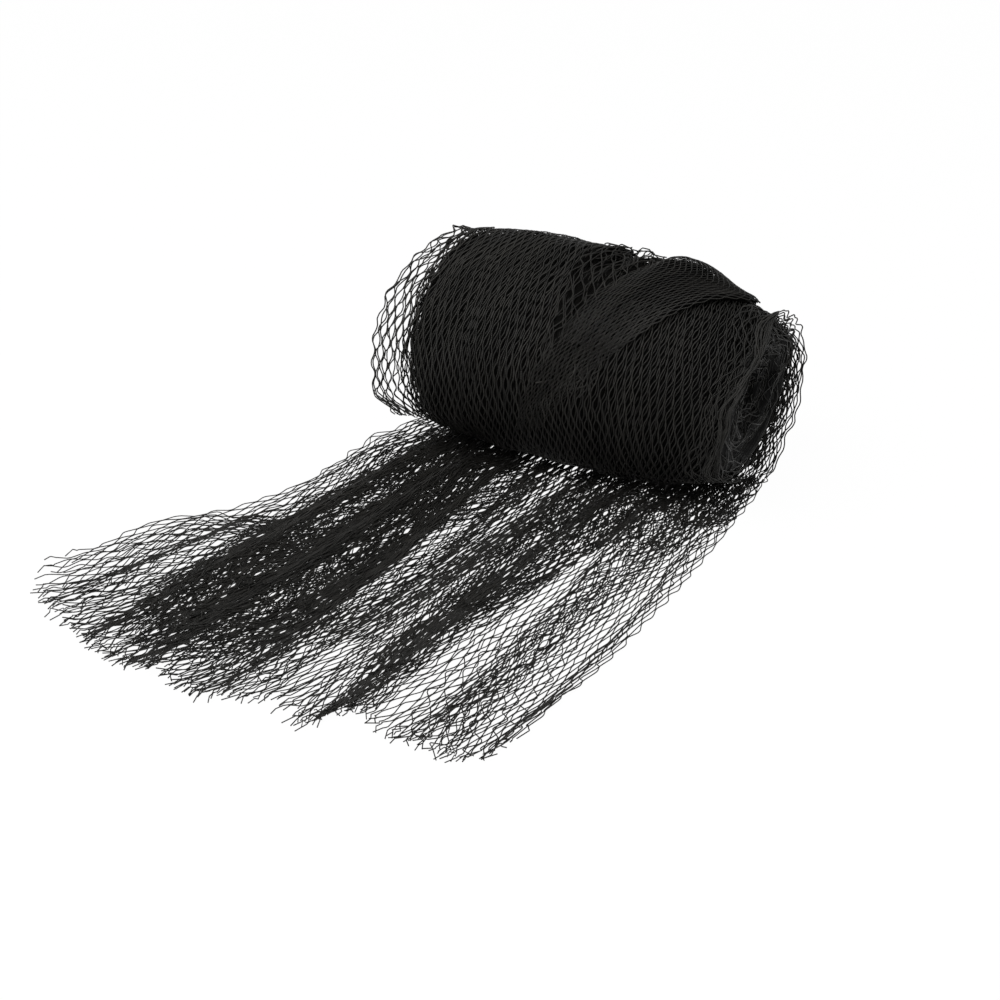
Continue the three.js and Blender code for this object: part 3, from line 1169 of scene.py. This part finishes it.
@dataclass
class OuterTurn:
    """The loose outermost turn, the fold that crosses it and the slack net beside the fold.

    edges holds the first and last wale, the seed and the shift of each doubled edge. fold_parts holds the
    wales, the first and last angle and the seed of each part of the fold.
    """

    tree: NetTree
    yarn: bpy.types.Material
    # painted shade: yarn darkened for the net inside the fold
    painted_shade_yarn: bpy.types.Material
    turn_knit: Knit = Knit(cell_length=16.5, joint_share=0.25, yarn_diameter=0.95)
    fold: Table = Table(
        ("angle", "groove", "left", "right", "height", "lip"),
        (
            (30, -6, 44, 80, -2.2, -2.6), (60, -9, 31, 84, 5.5, 3.0), (79, -11, 28, 91, 6.0, 4.2),
            (92, -14, 26, 90, 4.8, 4.4), (109, -13, 17, 73, 4.4, 4.4), (122, -10, 8, 59, 4.4, 4.4),
            (135, -10, 2, 46, 3.8, 3.4), (147, -13, -4, 34, 3.0, 0.6), (160, -15, -12, 20, 2.0, -1.0),
            (171, -19, -17, 10, 1.2, -1.8), (185, -26, -23, -3, -0.9, -2.6),
            (202, -33, -30, -16, -3.4, -3.6),
        ),
    )
    base: TurnSurface = TurnSurface()
    ends: tuple[float, float] = (30.0, 202.0)
    length: float = 212.0
    steep: tuple[float, float] = (0.16, 0.45)
    steep_angles: tuple[float, float] = (88.0, 125.0)
    edges: tuple[tuple[int, int, int, float], ...] = ((0, 8, 76, 0.8), (88, 99, 77, -2.6))
    behind: int = 3
    fold_parts: tuple[tuple[int, int, int, int], ...] = ((40, 30, 148, 41), (25, 122, 202, 43))
    fold_knit: Knit = Knit(wale_pitch=1.8, cell_length=7.0, yarn_diameter=0.7)
    fold_opening: float = 0.95
    fold_lift: float = 0.9
    fold_sink: float = 0.8
    fold_sink_reach: float = 14.0
    inner_ends: tuple[float, float] = (52.0, 164.0)
    inner_length: float = 135.0
    inner_wales: int = 44
    inner_levels: int = 3
    inner_taper: tuple[float, float] = (124.0, 158.0)
    groove_taper: tuple[float, float] = (138.0, 158.0)
    inner_knit: Knit = Knit(yarn_diameter=1.2)
    slack_ends: tuple[float, float] = (63.0, 172.0)
    slack_length: float = 124.0
    slack_wales: int = 11
    slack_levels: int = 2
    slack_knit: Knit = Knit(wale_pitch=3.2, cell_length=16.0, yarn_diameter=0.9)
    slack_width: float = 37.0
    slack_lift: float = 1.8
    slack_step: float = 0.5
    slack_under: tuple[float, float] = (84.0, 100.0)
    loop_height: float = 1.4
    loop_place: tuple[float, float] = (8.0, 77.0)
    loop_reach: float = 20.0

    def build(self) -> None:
        """Builds the loose turn, the fold on it and the slack net."""
        self.turn()
        self.fold_inside()
        self.crossing_fold()
        self.slack_net()

    def turn(self) -> None:
        """The whole loose turn, its doubled edges and the slack layers behind its right one."""
        surfaces = [(TurnSurface(seed=21), 0.74, 0.22)]
        for first, last, seed, shift in self.edges:
            surfaces.append((TurnSurface(-0.9, first, last, seed, 1.8, shift), 1.0, 0.5))
        for level in range(self.behind):
            shift = -2.0 - 3.0 * level
            behind = TurnSurface(0.6 + 1.2 * level, 84, 98, 86 + level, 1.0, shift, last=62, length=175)
            surfaces.append((behind, 1.0, 0.4))
        layers = []
        for surface, opening, jitter in surfaces:
            wales = surface.last_wale - surface.first_wale + 1
            knit, seed = self.turn_knit, surface.seed
            layers.append(Layer(surface, wales, surface.length, seed, knit, opening, jitter, ground=0))
        piece = ride(self.tree.knit("outer_turn_net", layers, self.yarn), "loose turn")
        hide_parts("outer_turn")
        declare(layers)

    def _on_turn(self, along: Array, angle: Array, lift: Array, shift: float) -> Array:
        """Points that stand off the loose turn, shifted along the roll."""
        return FORM.point(along + shift, angle, self.base.distance(along, angle) + lift, SEAT)

    def _rise(self, along: Array, angle: Array) -> Array:
        """Height of the fold over the loose turn: steep at its top, gentle where it flattens out.

        Args:
            along: place along the roll.
            angle: angle in degrees.

        Returns:
            The heights.
        """
        left, right = self.fold.at("left", angle), self.fold.at("right", angle)
        share = (along - left) / (right - left)
        height, lip = self.fold.at("height", angle), self.fold.at("lip", angle)
        height = mix(height, lip, smoothstep(share, 0.25, 0.95))
        steep = mix(*self.steep, smoothstep(angle, *self.steep_angles))
        return height * smoothstep(share / steep, 0, 1) * (1 - 0.5 * smoothstep(share, 0.93, 1.04))

    def _fold_part(self, first: float, last: float, length: float, seed: int) -> Surface:
        """Surface of the fold between two angles, whose ends sink under the part that it overlaps.

        Args:
            first: angle at which it starts.
            last: angle at which it ends.
            length: length of its cloth.
            seed: seed of its ripple.

        Returns:
            The surface.
        """
        ripple = Ripple(seed, 0.2, 40)

        def surface(share: Array, way: Array) -> Array:
            """Lays the fold over the loose turn.

            Args:
                share: the wales' shares across the cloth.
                way: way along it.

            Returns:
                Points in millimetres.
            """
            angle = mix(first, last, way / length)
            along = mix(self.fold.at("left", angle), self.fold.at("right", angle), share)
            starts = (1 - smoothstep(angle, first, first + self.fold_sink_reach)) * (first > self.ends[0])
            stops = smoothstep(angle, last - self.fold_sink_reach, last) * (last < self.ends[1])
            lift = self.fold_lift - self.fold_sink * (starts + stops) + ripple.at(along, way)
            return self._on_turn(along, angle, self._rise(along, angle) + lift, 0.3)

        return surface

    def crossing_fold(self) -> None:
        """The fold that crosses the roll: net drawn so long that its cells almost close."""
        layers = []
        looks = {"jitter": 0.08, "drift": 0.03}
        for wales, first, last, seed in self.fold_parts:
            length = self.length * (last - first) / (self.ends[1] - self.ends[0])
            surface = self._fold_part(first, last, length, seed)
            layers.append(Layer(surface, wales, length, seed, self.fold_knit, self.fold_opening, **looks))
        piece = ride(self.tree.knit("crossing_fold", layers, self.yarn), "fold across the roll")
        declare(layers)

    def fold_inside(self) -> None:
        """The net that is piled up inside the fold and in the groove beside it, knitted from yarn darkened
        with painted shade, which makes the groove dark.
        """
        wander = Ripple(44, 0.8, 14)

        def surface(share: Array, way: Array, level: int) -> Array:
            """Lays one layer over the loose turn.

            Args:
                share: the wales' shares across the cloth.
                way: way along it.
                level: number of the layer, from below.

            Returns:
                Points in millimetres.
            """
            angle = mix(*self.inner_ends, way / self.inner_length)
            left = self.fold.at("left", angle)
            right = mix(self.fold.at("right", angle) - 3, left + 6, smoothstep(angle, *self.inner_taper))
            groove = self.fold.at("groove", angle) + 0.5 + wander.at(angle, 0 * angle)
            groove = mix(groove, left + 3, smoothstep(angle, *self.groove_taper))
            along = mix(groove, right, share)
            lift = (0.25 + 0.2 * level) * np.maximum(0, self._rise(along, angle)) + 0.1 + 0.12 * level
            return self._on_turn(along, angle, lift, 0.7 * level)

        layers = []
        for level in range(self.inner_levels):
            lay, seed = partial(surface, level=level), 45 + level
            layers.append(Layer(lay, self.inner_wales, self.inner_length, seed, self.inner_knit, 0.6))
        # painted shade: this net is knitted from the darkened yarn
        piece = ride(self.tree.knit("fold_inside", layers, self.painted_shade_yarn), "net inside the fold")
        declare(layers)

    def slack_net(self) -> None:
        """Net that was drawn up loosely beside the fold and stands off the roll at its top."""
        puff = Ripple(51, 0.8, 15)

        def surface(share: Array, way: Array, level: int) -> Array:
            """Lays one layer over the loose turn, bridging the dent beside the fold.

            Args:
                share: the wales' shares across the cloth.
                way: way along it.
                level: number of the layer, from the outside.

            Returns:
                Points in millimetres.
            """
            angle = mix(*self.slack_ends, way / self.slack_length)
            along = self.fold.at("groove", angle) + 2 + self.slack_width * share
            beside, above = along - self.loop_place[0], np.radians(angle - self.loop_place[1])
            off_top = np.hypot(0.6 * beside, above * self.base.arc_radius)
            loop = hump(off_top, self.loop_reach) * hump(share - 0.5, 0.54)
            lift = self.slack_lift + self.loop_height * loop + puff.at(along, way) * (1 + 2 * loop)
            lift = lift - self.slack_step * level + FORM.dent(along, angle) * (0.95 - 0.6 * level)
            under = smoothstep(along - self.fold.at("left", angle), -1, 5)
            lift = mix(lift, 0.0, under * smoothstep(angle, *self.slack_under))
            return self._on_turn(along, angle, lift, 1.3 * level)

        layers = []
        looks = {"jitter": 0.9, "ragged": 1.5}
        for level in range(self.slack_levels):
            lay, seed = partial(surface, level=level), 52 + level
            layers.append(Layer(lay, self.slack_wales, self.slack_length, seed, self.slack_knit, **looks))
        piece = ride(self.tree.knit("slack_net", layers, self.yarn), "slack net beside the fold")
        declare(layers)


# ---------------------------------------------------------------- the loose end


class Part(Enum):
    """Which pile of the loose end a strip of net belongs to."""

    GROUND = "loose_end_ground"
    LEFT_LOW = "loose_end_left_low"
    LEFT_HIGH = "loose_end_left_high"
    RIGHT = "loose_end_right"


WAYS = (0.0, 0.25, 0.5, 0.75, 1.0)


@dataclass(frozen=True)
class Strip:
    """Layers of net in a fold, between two edges that are given by their X at five places on the way out.

    short is by how many cells the uppermost layer is shorter, and stray how far a layer's edges lie from
    the strip's.
    """

    part: Part
    left: tuple[float, ...]
    right: tuple[float, ...]
    wales: int
    layers: int
    short: int = 0
    stray: float = 2.0

    def edge(self, which: tuple[float, ...], stray: Array) -> Table:
        """One of its edges by the share of the way out, strayed a little."""
        return Table(("way", "x"), tuple(zip(WAYS, np.add(which, stray))))


@dataclass
class LooseEnd:
    """The end of the netting that lies on the ground: one layer all over, with strips piled in its folds.

    sides and front hold the outline. ridges holds the X of each fold at three places from back to front,
    its height and half its width.
    """

    tree: NetTree
    yarn: bpy.types.Material
    back: float = 17.2
    length: float = 380.0
    ground_wales: int = 150
    ground_height: float = 0.45
    ground_share: float = 0.75
    pile_height: float = 0.9
    flow_width: float = 300.0
    pleats: Pleats = Pleats(65, 0.22)
    level_step: float = 0.55
    level_growth: float = 0.07
    ridge_places: tuple[float, float, float] = (-340.0, -190.0, -40.0)
    foot: tuple[float, float] = (-78.0, -26.0)
    front_share: float = 0.55
    sides: Table = Table(
        ("y", "left", "right"),
        (
            (-314, -241, 97), (-279, -241, 99), (-249, -220, 104), (-190, -187, 109), (-97, -149, 111),
            (-49, -145, 110), (-6, -131, 109), (18, -112, 107),
        ),
    )
    front: Table = Table(
        ("share", "y"),
        (
            (0, -279), (0.05, -308), (0.13, -326), (0.2, -337), (0.27, -349), (0.38, -352),
            (0.48, -358), (0.55, -352), (0.6, -341), (0.67, -358), (0.74, -335), (0.82, -346),
            (0.93, -349), (0.98, -338), (1, -314),
        ),
    )
    ridges: tuple[tuple[float, float, float, float, float], ...] = (
        (-126, -158, -212, 5, 13), (-97, -124, -160, 10, 17), (-62, -84, -112, 12, 20),
        (-44, -46, -62, 7, 14), (6, -8, -18, 4, 12), (40, 20, 3, 9, 16), (60, 63, 52, 8, 13),
        (103, 105, 92, 4, 8),
    )
    strips: tuple[Strip, ...] = (
        Strip(Part.GROUND, (-128, -137, -145, -190, -222), (-100, -118, -126, -150, -160), 14, 1, 2),
        Strip(Part.GROUND, (-114, -126, -136, -208, -240), (-80, -100, -122, -170, -186), 14, 1, 1),
        Strip(Part.GROUND, (-104, -116, -134, -176, -220), (-46, -54, -66, -84, -104), 30, 1, 0),
        Strip(Part.GROUND, (98, 102, 103, 97, 88), (107, 110, 108, 102, 94), 3, 1, 0, 0.5),
        Strip(Part.LEFT_LOW, (-106, -118, -140, -158, -162), (-6, -14, -32, -34, -50), 45, 2, 1),
        Strip(Part.LEFT_LOW, (-98, -108, -134, -150, -160), (-80, -92, -108, -122, -126), 20, 2, 4),
        Strip(Part.LEFT_HIGH, (-102, -108, -130, -136, -146), (-14, -24, -50, -52, -72), 40, 2, 5),
        Strip(Part.LEFT_HIGH, (-92, -96, -106, -144, -164), (-32, -42, -50, -62, -112), 38, 3, 3),
        Strip(Part.RIGHT, (4, 2, -4, -8, -6), (68, 54, 44, 24, 14), 24, 1, 0),
        Strip(Part.RIGHT, (4, 4, -2, -8, -10), (66, 54, 38, 20, 12), 25, 2, 7),
        Strip(Part.RIGHT, (12, 16, 8, 0, -10), (76, 62, 46, 24, 14), 22, 1, 12),
        Strip(Part.RIGHT, (-24, -26, -36, -54, -60), (40, 18, 0, -26, -34), 24, 1, 4),
        Strip(Part.RIGHT, (-4, -10, -24, -28, -20), (36, 14, -6, 4, 14), 14, 1, 0),
        Strip(Part.RIGHT, (56, 60, 60, 56, 56), (104, 94, 80, 70, 72), 8, 2, 1),
        Strip(Part.RIGHT, (60, 64, 60, 40, 30), (107, 104, 86, 84, 90), 9, 1, 0),
        Strip(Part.RIGHT, (20, 34, 40, 46, 46), (100, 90, 88, 106, 106), 34, 1, 13),
        Strip(Part.RIGHT, (26, 32, 44, 60, 60), (88, 86, 80, 106, 106), 26, 1, 12),
        Strip(Part.RIGHT, (40, 60, 60, 60, 60), (106, 106, 106, 106, 106), 24, 1, 15),
        Strip(Part.RIGHT, (52, 60, 60, 60, 60), (98, 108, 108, 108, 108), 21, 1, 15),
        Strip(Part.RIGHT, (60, 64, 64, 64, 64), (95, 107, 107, 107, 107), 19, 1, 16),
        Strip(Part.RIGHT, (70, 76, 76, 76, 76), (101, 108, 108, 108, 108), 15, 1, 15),
        Strip(Part.RIGHT, (-36, -40, -40, -40, -40), (84, 84, 84, 84, 84), 46, 1, 16),
        Strip(Part.RIGHT, (-30, -34, -34, -34, -34), (80, 80, 80, 80, 80), 44, 1, 16),
    )

    def build(self) -> None:
        """Builds the layer that lies on the ground and the piles on it, piece by piece."""
        layers = {part: [] for part in Part}
        looks = {"jitter": 0.35, "ragged": 1.6, "ground": 0}
        layers[Part.GROUND].append(Layer(self._sheet(), self.ground_wales, self.length, 60, **looks))
        for number, strip in enumerate(self.strips):
            for level in range(strip.layers):
                seed = 200 + 20 * number
                cells = strip.short * (level + 1) // strip.layers
                surface, length = self._strip(strip, level, seed), self.length - cells * Knit.cell_length
                looks = {"jitter": 0.4, "ragged": 1.9, "skew": 0.15 * level, "ground": 0}
                layers[strip.part].append(Layer(surface, strip.wales, length, seed + 3 * level, **looks))
        for part, stack in layers.items():
            piece = ride(self.tree.knit(part.value, stack, self.yarn), f"{len(stack)} layers")
            if part is Part.GROUND:
                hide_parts("loose_end")
            declare(stack)

    def _crest(self, ridge: tuple[float, ...], y: Array) -> Array:
        """X of a ridge's crest."""
        return np.interp(y, self.ridge_places, ridge[2::-1])

    def height(self, x: Array, y: Array) -> Array:
        """Height of the gathered folds over the ground.

        Args:
            x: places to the right.
            y: places to the back.

        Returns:
            The heights there.
        """
        grown = 1 - smoothstep(y, *self.foot)
        settled = np.interp(y, (self.ridge_places[0], self.foot[0]), (self.front_share, 1))
        crests = [ridge[3] * hump(x - self._crest(ridge, y), ridge[4]) for ridge in self.ridges]
        return grown * settled * np.max(crests, axis=0)

    def _edges(self, part: Array) -> tuple[Array, Array]:
        """X of the two side edges by the share of the way out to the front corners."""
        left, right = (mix(self.back, self.front.rows[corner][1], part) for corner in (0, -1))
        return self.sides.at("left", left), self.sides.at("right", right)

    def _sheet(self) -> Surface:
        """The layer that lies on the ground, as wide as the outline.

        Returns:
            Its surface.
        """
        wander, puff, edge_wander = Ripple(61, 2.0, 90), Ripple(62, 0.5, 40), Ripple(64, 2.4, 48)

        def surface(share: Array, way: Array) -> Array:
            """Lays the net between the side edges.

            Args:
                share: the wales' shares across the cloth.
                way: way along it.

            Returns:
                Points in millimetres.
            """
            part = way / self.length
            inner = hump(np.clip(share, 0, 1) - 0.5, 0.5)
            flow = share * self.flow_width
            bent = share + 0.006 * np.sin(FULL_TURN * (share * 4.5 + part * 0.6)) * inner
            bent = bent + 0.014 * np.sin(math.pi * np.clip(share / 0.16, 0, 1))
            calm = smoothstep(flow, 8, 50) * smoothstep(self.flow_width - flow, 0, 40)
            shift = self.pleats.at(flow, way) * calm + wander.at(flow, way) * np.minimum(1, 4 * inner)
            left, right = self._edges(part)
            x = mix(left, right, bent + shift / self.flow_width)
            edge = np.exp(-np.clip(share, 0, 1) * 16)
            x = x + edge * edge_wander.at(way, 0 * way)
            y = mix(self.back, self.front.at("y", share), part)
            z = self.ground_height + np.abs(puff.at(x, y)) + self.ground_share * self.height(x, y)
            return np.stack([x, y, z], -1)

        return surface

    def _strip(self, strip: Strip, level: int, seed: int) -> Surface:
        """One layer of a strip, strayed a little from the others in it.

        Args:
            strip: the strip.
            level: number of the layer, from below.
            seed: seed of the strip.

        Returns:
            The layer's surface.
        """
        rng = np.random.default_rng(seed)
        stray = rng.normal(0, strip.stray, (2, len(WAYS)))
        left, right = strip.edge(strip.left, stray[0]), strip.edge(strip.right, stray[1])
        puff, slip = Ripple(seed + 1 + level, 0.45, 30), Ripple(seed + 40 + level, 0.7, 50)
        offset = rng.normal(0, 0.8, 2 * strip.layers)[level]
        own_pleats = Pleats(seed, 0.2, (8.0, 13.0))

        def surface(share: Array, way: Array) -> Array:
            """Lays the net between the strip's edges.

            Args:
                share: the wales' shares across the cloth.
                way: way along it.

            Returns:
                Points in millimetres.
            """
            part = way / self.length
            x = mix(left.at("x", part), right.at("x", part), share)
            low, high = self._edges(part)
            flow = (x - low) / (high - low) * self.flow_width
            width = (right.at("x", part) - left.at("x", part)) / (strip.wales * Knit.wale_pitch)
            pleats = self.pleats.at(flow, way) + own_pleats.at(flow, way)
            x = x + pleats * np.clip(width, 0.4, 1.0)
            x = x + offset + slip.at(x, way)
            across = (x - low) / (high - low)
            y = mix(self.back, self.front.at("y", across), part)
            folds = self.height(x, y) * (0.8 + self.level_growth * level)
            z = self.pile_height + self.level_step * level + np.abs(puff.at(x, y)) + folds
            return np.stack([x, y, z], -1)

        return surface


# ---------------------------------------------------------------- studio


@dataclass(frozen=True)
class Lamp:
    """A square lamp that points at the roll's foot, with its size in metres and its power in watts."""

    name: str
    place: tuple[float, float, float]
    size: float
    power: float


@dataclass
class Studio:
    """Camera, floor and soft light."""

    azimuth: float = 27.0
    elevation: float = 29.0
    distance: float = 1.4875
    lens: float = 85.0
    aim: tuple[float, float] = (-32.4, -82.6)
    floor_size: float = 30.0
    sky: float = 0.42
    lit: tuple[float, float, float] = (0, 0, 0.05)
    lamps: tuple[Lamp, ...] = (
        Lamp("key", (-0.25, -0.75, 1.5), 1.2, 22.0),
        Lamp("fill", (0.9, -1.3, 0.8), 1.2, 3.0),
    )

    def build(self) -> None:
        """Builds everything that isn't part of the object."""
        self.camera()
        self.floor()
        self.light()
        bpy.context.scene.view_settings.view_transform = "Standard"

    def camera(self) -> None:
        """Sets the camera up."""
        turn, rise = math.radians(self.azimuth), math.radians(self.elevation)
        back = Vector((math.sin(turn) * math.cos(rise), -math.cos(turn) * math.cos(rise), math.sin(rise)))
        aim = Vector(PLACE.points(np.array([*self.aim, 0.0])))
        data = bpy.data.cameras.new("camera")
        data.lens = self.lens
        camera = link("camera", data)
        turned = back.to_track_quat("Z", "Y").to_matrix().to_4x4()
        camera.matrix_world = Matrix.Translation(aim + back * self.distance) @ turned
        bpy.context.scene.camera = camera

    def floor(self) -> None:
        """A wide white floor."""
        half = self.floor_size / 2
        mesh = bpy.data.meshes.new("floor")
        corners = [(-half, -half, 0), (half, -half, 0), (half, half, 0), (-half, half, 0)]
        mesh.from_pydata(corners, [], [(0, 1, 2, 3)])
        mesh.materials.append(FloorFinish("floor_white").make())
        floor = link("floor", mesh)

    def light(self) -> None:
        """A white sky and two broad lamps, the stronger one above and to the left."""
        nodes = ShaderNodes(bpy.data.worlds.new("sky"), "World")
        seen = nodes.add("ShaderNodeLightPath", {}, {}, "Is Camera Ray")
        brightness = {"Value": seen, "To Min": self.sky, "To Max": 1.0}
        strength = nodes.add("ShaderNodeMapRange", {}, brightness, "Result")
        sky = nodes.add("ShaderNodeBackground", {}, {"Color": WHITE, "Strength": strength})
        bpy.context.scene.world = nodes.finish(sky)
        for lamp in self.lamps:
            data = bpy.data.lights.new(lamp.name, "AREA")
            data.size = lamp.size
            data.energy = lamp.power
            placed = link(lamp.name, data)
            placed.location = lamp.place
            back = Vector(lamp.place) - Vector(self.lit)
            placed.rotation_euler = back.to_track_quat("Z", "Y").to_euler()


def main() -> None:
    """Builds the netting in order and the studio round it."""
    yarn = YarnFinish("black_yarn").make()
    # painted shade: a copy of black_yarn with far darker colours and little specular, for net deep in the
    # roll and inside the fold that little light reaches
    dark, light = (0.002, 0.002, 0.0018), (0.005, 0.0048, 0.0042)
    painted_shade_yarn = YarnFinish("black_yarn_painted_shade", dark, light, specular=0.04).make()
    # painted shade: the almost black depth of the roll
    depth = CoreFinish("roll_depth_painted_shade").make()
    tree = NetTree()
    Studio().build()
    WoundRoll(tree, yarn, painted_shade_yarn, depth).build()
    OuterTurn(tree, yarn, painted_shade_yarn).build()
    LooseEnd(tree, yarn).build()


if __name__ == "__main__":
    main()
